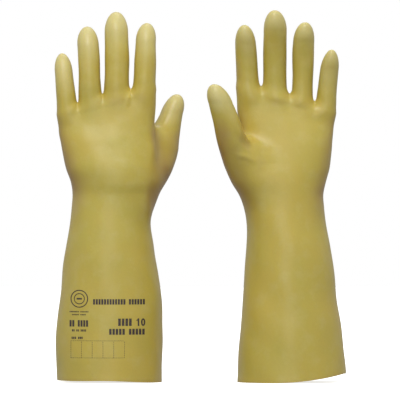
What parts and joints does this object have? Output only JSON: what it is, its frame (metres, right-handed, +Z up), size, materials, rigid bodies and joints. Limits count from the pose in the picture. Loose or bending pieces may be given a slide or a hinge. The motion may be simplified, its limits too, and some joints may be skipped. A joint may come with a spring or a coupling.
{
  "type": "insulating gloves",
  "caption": "Pair of long seamless natural rubber gloves with wide cuffs, worn to insulate the hands from electric shock, standing upright on their open cuffs.",
  "frame": {"origin": "on the ground at the middle of the pair", "axes": "+Z up along the gloves towards the fingertips, +X from glove A to glove B, +Y away from the side that shows glove A's back and glove B's palm"},
  "size_m": [0.2838, 0.1044, 0.3606],
  "materials": {
    "latex": "satin natural rubber, cloudy yellow to olive with warm brown thicker parts",
    "ink": "matt dark ink, printed on the rubber"
  },
  "bodies": {
    "glove_a": {"glove_a_gauntlet": "latex", "glove_a_wrist_flex": "latex"},
    "glove_a_hand": {"glove_a_palm": "latex", "glove_a_index_knuckle_flex": "latex", "glove_a_middle_knuckle_flex": "latex", "glove_a_ring_knuckle_flex": "latex", "glove_a_little_knuckle_flex": "latex", "glove_a_thumb_base_flex": "latex"},
    "glove_a_index_lower": {"glove_a_index_lower": "latex", "glove_a_index_joint_flex": "latex"},
    "glove_a_index_tip": {"glove_a_index_tip": "latex"},
    "glove_a_middle_lower": {"glove_a_middle_lower": "latex", "glove_a_middle_joint_flex": "latex"},
    "glove_a_middle_tip": {"glove_a_middle_tip": "latex"},
    "glove_a_ring_lower": {"glove_a_ring_lower": "latex", "glove_a_ring_joint_flex": "latex"},
    "glove_a_ring_tip": {"glove_a_ring_tip": "latex"},
    "glove_a_little_lower": {"glove_a_little_lower": "latex", "glove_a_little_joint_flex": "latex"},
    "glove_a_little_tip": {"glove_a_little_tip": "latex"},
    "glove_a_thumb_lower": {"glove_a_thumb_lower": "latex", "glove_a_thumb_joint_flex": "latex"},
    "glove_a_thumb_tip": {"glove_a_thumb_tip": "latex"},
    "glove_b": {"glove_b_gauntlet": "latex", "glove_b_wrist_flex": "latex"},
    "glove_b_hand": {"glove_b_palm": "latex", "glove_b_index_knuckle_flex": "latex", "glove_b_middle_knuckle_flex": "latex", "glove_b_ring_knuckle_flex": "latex", "glove_b_little_knuckle_flex": "latex", "glove_b_thumb_base_flex": "latex"},
    "glove_b_index_lower": {"glove_b_index_lower": "latex", "glove_b_index_joint_flex": "latex"},
    "glove_b_index_tip": {"glove_b_index_tip": "latex"},
    "glove_b_middle_lower": {"glove_b_middle_lower": "latex", "glove_b_middle_joint_flex": "latex"},
    "glove_b_middle_tip": {"glove_b_middle_tip": "latex"},
    "glove_b_ring_lower": {"glove_b_ring_lower": "latex", "glove_b_ring_joint_flex": "latex"},
    "glove_b_ring_tip": {"glove_b_ring_tip": "latex"},
    "glove_b_little_lower": {"glove_b_little_lower": "latex", "glove_b_little_joint_flex": "latex"},
    "glove_b_little_tip": {"glove_b_little_tip": "latex"},
    "glove_b_thumb_lower": {"glove_b_thumb_lower": "latex", "glove_b_thumb_joint_flex": "latex"},
    "glove_b_thumb_tip": {"glove_b_thumb_tip": "latex"}
  },
  "joints": [
    {"name": "glove_a_wrist", "type": "hinge", "parent": "glove_a", "child": "glove_a_hand", "pos_m": [-0.08562, 0, 0.17], "axis": [-1, 0, 0], "range_deg": [-25, 30], "stiffness_Nm_per_rad": 0.6, "deforming": ["glove_a_wrist_flex"]},
    {"name": "glove_a_index_knuckle", "type": "hinge", "parent": "glove_a_hand", "child": "glove_a_index_lower", "pos_m": [-0.05449, 0.0004, 0.29718], "axis": [-1, 0, 0], "range_deg": [0, 60], "stiffness_Nm_per_rad": 0.05, "deforming": ["glove_a_index_knuckle_flex"]},
    {"name": "glove_a_index_joint", "type": "hinge", "parent": "glove_a_index_lower", "child": "glove_a_index_tip", "pos_m": [-0.05345, 0.00388, 0.32168], "axis": [-1, 0, 0], "range_deg": [0, 60], "stiffness_Nm_per_rad": 0.02, "deforming": ["glove_a_index_joint_flex"]},
    {"name": "glove_a_middle_knuckle", "type": "hinge", "parent": "glove_a_hand", "child": "glove_a_middle_lower", "pos_m": [-0.08059, 0.00047, 0.29538], "axis": [-1, 0, 0], "range_deg": [0, 60], "stiffness_Nm_per_rad": 0.05, "deforming": ["glove_a_middle_knuckle_flex"]},
    {"name": "glove_a_middle_joint", "type": "hinge", "parent": "glove_a_middle_lower", "child": "glove_a_middle_tip", "pos_m": [-0.08129, 0.00436, 0.32497], "axis": [-1, 0, 0], "range_deg": [0, 60], "stiffness_Nm_per_rad": 0.02, "deforming": ["glove_a_middle_joint_flex"]},
    {"name": "glove_a_ring_knuckle", "type": "hinge", "parent": "glove_a_hand", "child": "glove_a_ring_lower", "pos_m": [-0.10711, 0.00041, 0.28951], "axis": [-1, 0, 0], "range_deg": [0, 60], "stiffness_Nm_per_rad": 0.05, "deforming": ["glove_a_ring_knuckle_flex"]},
    {"name": "glove_a_ring_joint", "type": "hinge", "parent": "glove_a_ring_lower", "child": "glove_a_ring_tip", "pos_m": [-0.10857, 0.00398, 0.31555], "axis": [-1, 0, 0], "range_deg": [0, 60], "stiffness_Nm_per_rad": 0.02, "deforming": ["glove_a_ring_joint_flex"]},
    {"name": "glove_a_little_knuckle", "type": "hinge", "parent": "glove_a_hand", "child": "glove_a_little_lower", "pos_m": [-0.13057, 0.00033, 0.27875], "axis": [-1, 0, 0], "range_deg": [0, 60], "stiffness_Nm_per_rad": 0.05, "deforming": ["glove_a_little_knuckle_flex"]},
    {"name": "glove_a_little_joint", "type": "hinge", "parent": "glove_a_little_lower", "child": "glove_a_little_tip", "pos_m": [-0.13248, 0.00339, 0.2985], "axis": [-1, 0, 0], "range_deg": [0, 60], "stiffness_Nm_per_rad": 0.02, "deforming": ["glove_a_little_joint_flex"]},
    {"name": "glove_a_thumb_base", "type": "hinge", "parent": "glove_a_hand", "child": "glove_a_thumb_lower", "pos_m": [-0.03614, 0.02896, 0.2278], "axis": [-0.866, -0.5, 0], "range_deg": [0, 35], "stiffness_Nm_per_rad": 0.08, "deforming": ["glove_a_thumb_base_flex"]},
    {"name": "glove_a_thumb_joint", "type": "hinge", "parent": "glove_a_thumb_lower", "child": "glove_a_thumb_tip", "pos_m": [-0.03067, 0.03435, 0.2521], "axis": [-0.866, -0.5, 0], "range_deg": [0, 50], "stiffness_Nm_per_rad": 0.03, "deforming": ["glove_a_thumb_joint_flex"]},
    {"name": "glove_b_wrist", "type": "hinge", "parent": "glove_b", "child": "glove_b_hand", "pos_m": [0.08127, 0, 0.17], "axis": [1, 0, 0], "range_deg": [-25, 30], "stiffness_Nm_per_rad": 0.6, "deforming": ["glove_b_wrist_flex"]},
    {"name": "glove_b_index_knuckle", "type": "hinge", "parent": "glove_b_hand", "child": "glove_b_index_lower", "pos_m": [0.04606, -0.00039, 0.29433], "axis": [1, 0, 0], "range_deg": [0, 60], "stiffness_Nm_per_rad": 0.05, "deforming": ["glove_b_index_knuckle_flex"]},
    {"name": "glove_b_index_joint", "type": "hinge", "parent": "glove_b_index_lower", "child": "glove_b_index_tip", "pos_m": [0.04453, -0.00381, 0.31881], "axis": [1, 0, 0], "range_deg": [0, 60], "stiffness_Nm_per_rad": 0.02, "deforming": ["glove_b_index_joint_flex"]},
    {"name": "glove_b_middle_knuckle", "type": "hinge", "parent": "glove_b_hand", "child": "glove_b_middle_lower", "pos_m": [0.07187, -0.00046, 0.29548], "axis": [1, 0, 0], "range_deg": [0, 60], "stiffness_Nm_per_rad": 0.05, "deforming": ["glove_b_middle_knuckle_flex"]},
    {"name": "glove_b_middle_joint", "type": "hinge", "parent": "glove_b_middle_lower", "child": "glove_b_middle_tip", "pos_m": [0.07204, -0.00428, 0.32504], "axis": [1, 0, 0], "range_deg": [0, 60], "stiffness_Nm_per_rad": 0.02, "deforming": ["glove_b_middle_joint_flex"]},
    {"name": "glove_b_ring_knuckle", "type": "hinge", "parent": "glove_b_hand", "child": "glove_b_ring_lower", "pos_m": [0.09771, -0.00042, 0.29313], "axis": [1, 0, 0], "range_deg": [0, 60], "stiffness_Nm_per_rad": 0.05, "deforming": ["glove_b_ring_knuckle_flex"]},
    {"name": "glove_b_ring_joint", "type": "hinge", "parent": "glove_b_ring_lower", "child": "glove_b_ring_tip", "pos_m": [0.09967, -0.00404, 0.3192], "axis": [1, 0, 0], "range_deg": [0, 60], "stiffness_Nm_per_rad": 0.02, "deforming": ["glove_b_ring_joint_flex"]},
    {"name": "glove_b_little_knuckle", "type": "hinge", "parent": "glove_b_hand", "child": "glove_b_little_lower", "pos_m": [0.12241, -0.00035, 0.28253], "axis": [1, 0, 0], "range_deg": [0, 60], "stiffness_Nm_per_rad": 0.05, "deforming": ["glove_b_little_knuckle_flex"]},
    {"name": "glove_b_little_joint", "type": "hinge", "parent": "glove_b_little_lower", "child": "glove_b_little_tip", "pos_m": [0.12473, -0.0035, 0.30234], "axis": [1, 0, 0], "range_deg": [0, 60], "stiffness_Nm_per_rad": 0.02, "deforming": ["glove_b_little_joint_flex"]},
    {"name": "glove_b_thumb_base", "type": "hinge", "parent": "glove_b_hand", "child": "glove_b_thumb_lower", "pos_m": [0.02855, -0.0315, 0.2365], "axis": [0.866, 0.5, 0], "range_deg": [0, 35], "stiffness_Nm_per_rad": 0.08, "deforming": ["glove_b_thumb_base_flex"]},
    {"name": "glove_b_thumb_joint", "type": "hinge", "parent": "glove_b_thumb_lower", "child": "glove_b_thumb_tip", "pos_m": [0.02274, -0.03651, 0.2608], "axis": [0.866, 0.5, 0], "range_deg": [0, 50], "stiffness_Nm_per_rad": 0.03, "deforming": ["glove_b_thumb_joint_flex"]},
    {"name": "glove_b_lift", "type": "slide", "parent": "glove_a", "child": "glove_b", "axis": [0, 0, 1], "range_m": [0, 0.15]}
  ]
}
